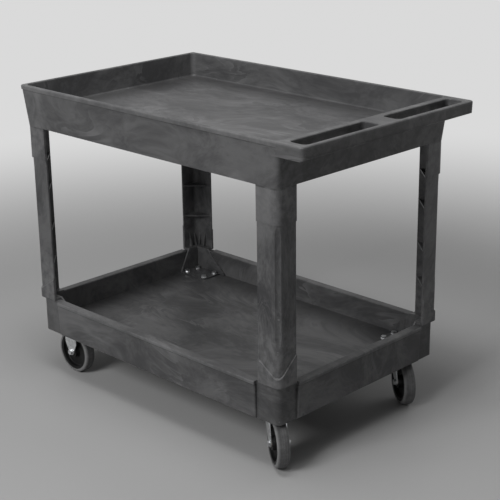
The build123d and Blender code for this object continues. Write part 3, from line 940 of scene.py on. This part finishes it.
@dataclass(frozen=True)
class Shank:
    """A round shank along Z, with rolled thread rings, a share of their pitch deep, near its tip."""

    radius: float
    thread_pitch: float
    thread_length: float
    thread_share: float = 0.55
    steps: int = 20

    def outline(self, tip: float, top: float) -> list[Triple]:
        """Half outline from the tip up to the top, both on the axis.

        Args:
            tip: level of the tip.
            top: level of the upper end.

        Returns:
            Points in the XZ plane.
        """
        depth = self.thread_share * self.thread_pitch
        points = [(0.0, 0.0, tip), (self.radius - depth, 0.0, tip)]
        for ring in range(int(self.thread_length / self.thread_pitch)):
            level = tip + depth + ring * self.thread_pitch
            points.append((self.radius, 0.0, level))
            points.append((self.radius - depth, 0.0, level + self.thread_pitch / 2))
        last = points[-1][2] + self.thread_pitch / 2
        return points + [(self.radius, 0.0, last), (self.radius, 0.0, top), (0.0, 0.0, top)]

    def build(self, shape: BMesh, tip: float, top: float) -> None:
        """Add the shank to a shape.

        Args:
            shape: the mesh that it joins.
            tip: level of the tip.
            top: level of the upper end.
        """
        form = bmesh.new()
        verts = [form.verts.new(point) for point in self.outline(tip, top)]
        edges = [form.edges.new(pair) for pair in zip(verts, verts[1:])]
        bmesh.ops.spin(
            form,
            geom=verts + edges,
            cent=(0, 0, 0),
            axis=(0, 0, 1),
            angle=math.tau,
            steps=self.steps,
            use_merge=True,
        )
        bmesh.ops.remove_doubles(form, verts=form.verts, dist=MERGE_DISTANCE)
        join(shape, form)


@dataclass(frozen=True)
class FootBolts:
    """The bolts, and their nuts, that hold one caster through the leg's foot and the tray floor."""

    corner: Corner
    head: HexForm = HexForm(flats=0.013, height=0.0055)
    nut: HexForm = HexForm(flats=0.013, height=0.0065, bore=0.004)
    shank: Shank = Shank(radius=0.004, thread_pitch=0.00125, thread_length=0.016)
    turn_step: float = 0.4

    def places(self) -> list[tuple[float, float]]:
        """Plan places of the four bolts, from the box of their nuts.

        Returns:
            The X and Y of each bolt.
        """
        low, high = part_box(self.corner.named("caster_nuts"))
        half_x, half_y = self.nut.corner_width() / 2, self.nut.flats / 2
        return [(x, y) for x in (low.x + half_x, high.x - half_x) for y in (low.y + half_y, high.y - half_y)]

    def build(self, zinc: Material) -> None:
        """Model the bolts and nuts of this caster.

        Args:
            zinc: their finish.
        """
        bolt_node, nut_node = self.corner.named("caster_bolts"), self.corner.named("caster_nuts")
        low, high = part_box(bolt_node)
        nut_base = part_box(nut_node)[0].z
        seat = high.z - self.head.height
        bolts, nuts = bmesh.new(), bmesh.new()
        for index, (x, y) in enumerate(self.places()):
            turn = index * self.turn_step
            bolt, nut = bmesh.new(), bmesh.new()
            self.head.build(bolt, seat, turn)
            self.shank.build(bolt, low.z, seat + self.head.height / 2)
            self.nut.build(nut, nut_base, turn)
            for made, group in ((bolt, bolts), (nut, nuts)):
                shift(made, (x, y, 0))
                join(group, made)
        add_fastener(self.corner.named("foot_bolts"), bolts, zinc, bolt_node)
        add_fastener(self.corner.named("foot_nuts"), nuts, zinc, nut_node)


@dataclass(frozen=True)
class LegScrews:
    """Hexagon-headed self-tapping screws, driven up through each leg's top plate.

    Their places are distances from the leg's outer edges, along the cart and across it.
    """

    node: str = "leg_screws"
    places: tuple[tuple[float, float], ...] = ((0.024, 0.024), (0.049, 0.021), (0.021, 0.049))
    head: HexForm = HexForm(flats=0.008, height=0.0028)
    shank: Shank = Shank(radius=0.0024, thread_pitch=0.0016, thread_length=0.018)
    flange_radius: float = 0.005
    flange_taper: float = 0.9
    flange_height: float = 0.0007
    flange_segments: int = 24

    def one(self, low: float, high: float) -> BMesh:
        """One screw on the Z axis, head down.

        Args:
            low: level of the head's underside.
            high: level of the tip.

        Returns:
            The screw's shape.
        """
        screw, flange, upturned = bmesh.new(), bmesh.new(), bmesh.new()
        self.head.build(screw, low)
        seat = low + self.head.height
        bmesh.ops.create_cone(
            flange,
            cap_ends=True,
            segments=self.flange_segments,
            radius1=self.flange_taper * self.flange_radius,
            radius2=self.flange_radius,
            depth=self.flange_height,
        )
        shift(flange, (0, 0, seat + self.flange_height / 2))
        join(screw, flange)
        self.shank.build(upturned, -high, -seat)
        turn_about(upturned, "X", math.pi)
        join(screw, upturned)
        return screw

    def build(self, zinc: Material) -> None:
        """Model the screws of all four legs.

        Args:
            zinc: their finish.
        """
        low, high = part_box(self.node)
        screws = bmesh.new()
        for corner in Corner:
            leg_low, leg_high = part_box(corner.named("leg"))
            edge_x = leg_high.x if corner.end() > 0 else leg_low.x
            edge_y = leg_high.y if corner.side() > 0 else leg_low.y
            for along, across in self.places:
                screw = self.one(low.z, high.z)
                shift(screw, (edge_x - corner.end() * along, edge_y - corner.side() * across, 0))
                join(screws, screw)
        add_fastener("leg_top_screws", screws, zinc, self.node)


@dataclass(frozen=True)
class Caster:
    """One caster: fork, wheel, axle and, at the rear, the swivel."""

    corner: Corner
    fork_face: float = 0.0225
    tread_half_width: float = 0.016
    axle_head: HexForm = HexForm(flats=0.014, height=0.006)
    axle_nut: HexForm = HexForm(flats=0.014, height=0.005, bore=0.00475, collar=0.0016)
    axle: Shank = Shank(radius=0.00475, thread_pitch=0.00125, thread_length=0.011)
    axle_tail: float = 0.0075
    king_nut: HexForm = HexForm(flats=0.018, height=0.008, bore=0.006)

    def swivels(self) -> bool:
        """True at the handle end."""
        return self.corner.end() > 0

    def turned(self) -> Turned:
        """Wheel centre and axle direction, from the spin joint."""
        joint = next(joint for joint in frame["joints"] if joint["name"] == self.corner.named("spin"))
        return Turned(Vector(joint["pos_m"]), Vector(joint["axis"]).normalized())

    def _on_axle(self, shape: BMesh, way: float) -> None:
        """Lay a shape, drawn along Z, on the axle.

        Args:
            shape: the shape that is laid.
            way: 1 to point its Z along the axle's direction, -1 against it.
        """
        turned = self.turned()
        aim = (way * turned.axis).to_track_quat("Z", "Y").to_matrix()
        bmesh.ops.rotate(shape, verts=shape.verts, matrix=aim)
        shift(shape, turned.centre)

    def build_axle(self, zinc: Material) -> None:
        """Model the axle bolt and its lock nut.

        Args:
            zinc: their finish.
        """
        bolt, nut = bmesh.new(), bmesh.new()
        self.axle_head.build(bolt, self.fork_face)
        self.axle.build(bolt, -self.fork_face - self.axle_tail, self.fork_face + self.axle_head.height / 2)
        self._on_axle(bolt, -1.0)
        self.axle_nut.build(nut, self.fork_face)
        self._on_axle(nut, 1.0)
        add_fastener(self.corner.named("axle_hex_bolt"), bolt, zinc, self.corner.named("axle_bolt"))
        add_fastener(self.corner.named("axle_lock_nut"), nut, zinc, self.corner.named("axle_nut"))

    def build_king_nut(self, zinc: Material) -> None:
        """Model the nut under a swivel.

        Args:
            zinc: its finish.
        """
        node = self.corner.named("king_nut")
        low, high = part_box(node)
        middle = (low + high) / 2
        nut = bmesh.new()
        self.king_nut.build(nut, low.z)
        shift(nut, (middle.x, middle.y, 0))
        add_fastener(self.corner.named("king_hex_nut"), nut, zinc, node)

    def dress(self, metals: Metals) -> None:
        """Give this caster's CAD nodes their finishes.

        Args:
            metals: the shared metals.
        """
        turned = self.turned()
        rubber = TreadRubber(self.corner.named("tread_rubber"), turned, self.tread_half_width)
        finishes = {
            "tread": rubber.make(),
            "wheel_core": WheelPlastic(self.corner.named("wheel_plastic"), turned).make(),
            "bearing": metals.bronze,
            "axle_sleeve": metals.steel,
            "fork": metals.pressing,
        }
        if self.swivels():
            finishes["swivel_plate"] = metals.pressing
            finishes["king_bolt"] = metals.fastener
            finishes |= dict.fromkeys(("upper_balls", "lower_balls", "lower_race"), metals.steel)
        for piece, material in finishes.items():
            dress_node(self.corner.named(piece), material)

    def build(self, metals: Metals) -> None:
        """Build and dress the whole caster.

        Args:
            metals: the shared metals.
        """
        self.build_axle(metals.fastener)
        if self.swivels():
            self.build_king_nut(metals.fastener)
        self.dress(metals)


@dataclass(frozen=True)
class TopTray:
    """The upper shelf with its handle: the lengths, widths and bands of its rim wear and highlight, its painted
    shade, and the floor's unshaded middle.
    """

    node: str = "top_tray"
    rim_length: Span = (-0.53, 0.44)
    rim_band: Span = (0.8335, 0.85)
    # Painted shade: a thin dark band under the rim bead.
    under_rim_shade_band: Span = (0.8308, 0.8322)
    # Zone of painted shade on the handle front and the end wall below the handle.
    handle_length: Span = (0.437, 0.53)
    handle_width: Span = (-0.305, 0.305)
    handle_band: Span = (0.72, 0.835)
    handle_fade: float = 0.008
    handle_shade_share: float = 1.2
    floor_band: Span = (0.765, 0.785)
    # Middle of the floor that is left without painted shade.
    unshaded_length: Span = (-0.40, 0.33)
    unshaded_width: Span = (-0.20, 0.20)
    unshaded_fade: float = 0.10

    def finish(self) -> MouldedPlastic:
        """Foam with wear and painted highlight along the rim, painted shade under the rim and at the handle end,
        and painted shade on the floor near the walls.

        Returns:
            The finish.
        """
        # Painted shade at the handle end.
        handle = Zone(
            self.handle_length, self.handle_width, self.handle_band, self.handle_fade, self.handle_shade_share
        )
        return MouldedPlastic(
            "top_tray_foam",
            Flow.ALONG,
            rims=(Zone(x=self.rim_length, z=self.rim_band),),
            shade_and_dirt=(Zone(x=self.rim_length, z=self.under_rim_shade_band), handle),
            floor=(Zone(z=self.floor_band),),
            unshaded_middle=(Zone(self.unshaded_length, self.unshaded_width, self.floor_band, self.unshaded_fade),),
        )

    def dress(self) -> None:
        """Give the tray its finish."""
        dress_node(self.node, self.finish().make())


@dataclass(frozen=True)
class BottomTray:
    """The lower shelf: its proud side panels, the grooves at their ends, and the corner blocks beyond."""

    node: str = "bottom_tray"
    panel_length: Span = (-0.4275, 0.354)
    panel_width: Span = (-0.2405, 0.2405)
    rim_band: Span = (0.2225, 0.236)
    # Painted shade: a thin dark band under the rim bead.
    under_rim_shade_band: Span = (0.2192, 0.2212)
    # Painted shade in the grooves at the panels' ends.
    groove_band: Span = (0.12, 0.2285)
    groove_gap: float = 0.001
    groove_width: float = 0.0045
    groove_fade: float = 0.002
    # Corner blocks are made a little darker.
    block_reach: float = 0.11
    block_dark_share: float = 0.6
    floor_band: Span = (0.155, 0.175)
    # Middle of the floor that is left without painted shade.
    unshaded_length: Span = (-0.38, 0.30)
    unshaded_width: Span = (-0.18, 0.18)
    unshaded_fade: float = 0.11

    def _beside(self, panel: Span, near: float, far: float) -> tuple[Span, Span]:
        """Stretches beyond the two ends of a panel, between two distances from them."""
        return (panel[0] - far, panel[0] - near), (panel[1] + near, panel[1] + far)

    def _panels(self, band: Span) -> Zones:
        """A band around the long and the short panels."""
        return Zone(x=self.panel_length, z=band), Zone(y=self.panel_width, z=band)

    def _shade_and_dirt_zones(self) -> Zones:
        """Dark places: painted shade under the panels' rims and in the grooves, and a weaker darker tone on the
        corner blocks.

        Returns:
            Their zones.
        """
        panels = (self.panel_length, self.panel_width)
        band, fade = self.groove_band, self.groove_fade
        groove_end = self.groove_gap + self.groove_width
        grooves_x, grooves_y = (self._beside(panel, self.groove_gap, groove_end) for panel in panels)
        blocks_x, blocks_y = (self._beside(panel, groove_end + fade, self.block_reach) for panel in panels)
        return (
            *self._panels(self.under_rim_shade_band),
            # Painted shade in the grooves.
            *(Zone(x=x, z=band, fade=fade) for x in grooves_x),
            *(Zone(y=y, z=band, fade=fade) for y in grooves_y),
            # Darker tone on the corner blocks.
            *(Zone(x, y, band, fade, self.block_dark_share) for x in blocks_x for y in blocks_y),
        )

    def finish(self) -> MouldedPlastic:
        """Foam with wear and painted highlight along the panels' rims, painted shade under them and in the
        grooves, darker corner blocks, and painted shade on the floor near the walls.

        Returns:
            The finish.
        """
        return MouldedPlastic(
            "bottom_tray_foam",
            Flow.ALONG,
            rims=self._panels(self.rim_band),
            shade_and_dirt=self._shade_and_dirt_zones(),
            floor=(Zone(z=self.floor_band),),
            unshaded_middle=(Zone(self.unshaded_length, self.unshaded_width, self.floor_band, self.unshaded_fade),),
        )

    def dress(self) -> None:
        """Give the tray its finish."""
        dress_node(self.node, self.finish().make())


@dataclass(frozen=True)
class Legs:
    """The four corner legs, with painted shade where they meet the trays and paler patches near their collars and
    boots.
    """

    # Painted shade: thin dark lines on the legs at the trays' edges.
    collar_shade_line: Span = (0.7285, 0.733)
    boot_shade_line: Span = (0.2295, 0.2325)
    collar_band: Span = (0.70, 0.75)
    collar_fade: float = 0.14
    boot_band: Span = (0.24, 0.33)
    boot_fade: float = 0.08

    def finish(self) -> MouldedPlastic:
        """Foam with upright flow marks, darker than the trays.

        Returns:
            The finish.
        """
        return MouldedPlastic(
            "leg_foam",
            Flow.UPRIGHT,
            shade_and_dirt=(Zone(z=self.collar_shade_line), Zone(z=self.boot_shade_line)),
            # Paler patches near the collars and boots.
            pale_patches=(
                Zone(z=self.collar_band, fade=self.collar_fade),
                Zone(z=self.boot_band, fade=self.boot_fade),
            ),
            dark=(0.043, 0.043, 0.045),
            pale=(0.118, 0.118, 0.120),
            clouds=Clouds(9.0, 5.0, 0.6),
            streaks=Clouds(110.0, 3.0, 0.6, 0.6),
            wisps=Clouds(26.0, 3.0, 0.5, 1.2),
            wisp_share=0.3,
            # Stronger lightening on the legs' edges: partly wear, partly painted highlight.
            edge_share=0.6,
        )

    def dress(self) -> None:
        """Give the legs their shared finish."""
        foam = self.finish().make()
        for corner in Corner:
            dress_node(corner.named("leg"), foam)


@dataclass(frozen=True)
class SoftBox:
    """One soft studio lamp, aimed at a point."""

    name: str
    place: Triple
    aim: Triple
    size: float
    watts: float

    def build(self) -> None:
        """Make the lamp."""
        lamp = bpy.data.lights.new(self.name, "AREA")
        lamp.shape = "SQUARE"
        lamp.size = self.size
        lamp.energy = self.watts
        holder = add_object(self.name, lamp)
        holder.location = self.place
        holder.rotation_mode = "QUATERNION"
        holder.rotation_quaternion = (Vector(self.aim) - Vector(self.place)).to_track_quat("-Z", "Y")


@dataclass(frozen=True)
class Studio:
    """Floor, lamps, background and camera, whose angles are in degrees and whose lens is in millimetres."""

    camera_place: Triple = (2.39574, -2.36694, 1.56218)
    azimuth: float = 44.781
    elevation: float = 19.196
    roll: float = -0.7685
    lens: float = 93.883
    shift: tuple[float, float] = (-0.0066, 0.01188)
    floor_reach: float = 40.0
    floor_cells: int = 2
    sky: Colour = (0.70, 0.70, 0.70)
    sky_light: float = 0.085
    lamps: tuple[SoftBox, ...] = (
        SoftBox("key_box", (0.2, -3.9, 2.9), (0.0, 0.0, 0.5), 1.8, 108.0),
        SoftBox("top_box", (0.2, -0.5, 3.3), (0.0, 0.0, 0.6), 1.2, 34.0),
        SoftBox("back_box", (0.4, 3.6, 2.3), (0.0, 0.0, 0.5), 2.0, 16.0),
    )

    def build_floor(self) -> None:
        """Lay the floor."""
        shape = bmesh.new()
        cells = self.floor_cells
        bmesh.ops.create_grid(shape, x_segments=cells, y_segments=cells, size=self.floor_reach)
        mesh = mesh_of("floor", shape)
        mesh.materials.append(PaleFloor(self.sky).make())
        floor = add_object("floor", mesh)

    def build_sky(self) -> None:
        """Light the surroundings softly, with a pale background behind the object."""
        world = bpy.data.worlds.new("studio")
        world.use_nodes = True
        bpy.context.scene.world = world
        g = Graph(world.node_tree)
        lit = g.node("ShaderNodeBackground", None, {"Color": WHITE, "Strength": self.sky_light})
        shown = g.node("ShaderNodeBackground", None, {"Color": self.sky})
        both = g.node("ShaderNodeMixShader", None, {0: g.seen(), 1: lit, 2: shown})
        g.node("ShaderNodeOutputWorld", None, {"Surface": both})

    def build_camera(self) -> None:
        """Set the camera at the photograph's viewpoint."""
        turn, rise, roll = (math.radians(angle) for angle in (self.azimuth, self.elevation, self.roll))
        back = Vector((math.sin(turn) * math.cos(rise), -math.cos(turn) * math.cos(rise), math.sin(rise)))
        right = Vector((math.cos(turn), math.sin(turn), 0.0))
        axes = Matrix((right, back.cross(right), back)).transposed()
        lens = bpy.data.cameras.new("camera")
        lens.lens = self.lens
        lens.shift_x, lens.shift_y = self.shift
        camera = add_object("camera", lens)
        camera.location = self.camera_place
        camera.rotation_euler = (axes @ Matrix.Rotation(roll, 3, "Z")).to_euler()
        bpy.context.scene.camera = camera

    def build(self) -> None:
        """Make the whole studio."""
        self.build_floor()
        self.build_sky()
        for lamp in self.lamps:
            lamp.build()
        self.build_camera()
        bpy.context.scene.view_settings.view_transform = "Standard"


def main() -> None:
    """Build the cart's looks and its studio, in order."""
    logging.basicConfig(level=logging.INFO)
    metals = Metals()
    for moulding in (TopTray(), BottomTray(), Legs()):
        moulding.dress()
    dress_node("caster_washers", metals.fastener)
    for corner in Corner:
        Caster(corner).build(metals)
        FootBolts(corner).build(metals.fastener)
    LegScrews().build(metals.fastener)
    Studio().build()


if __name__ == "__main__":
    main()
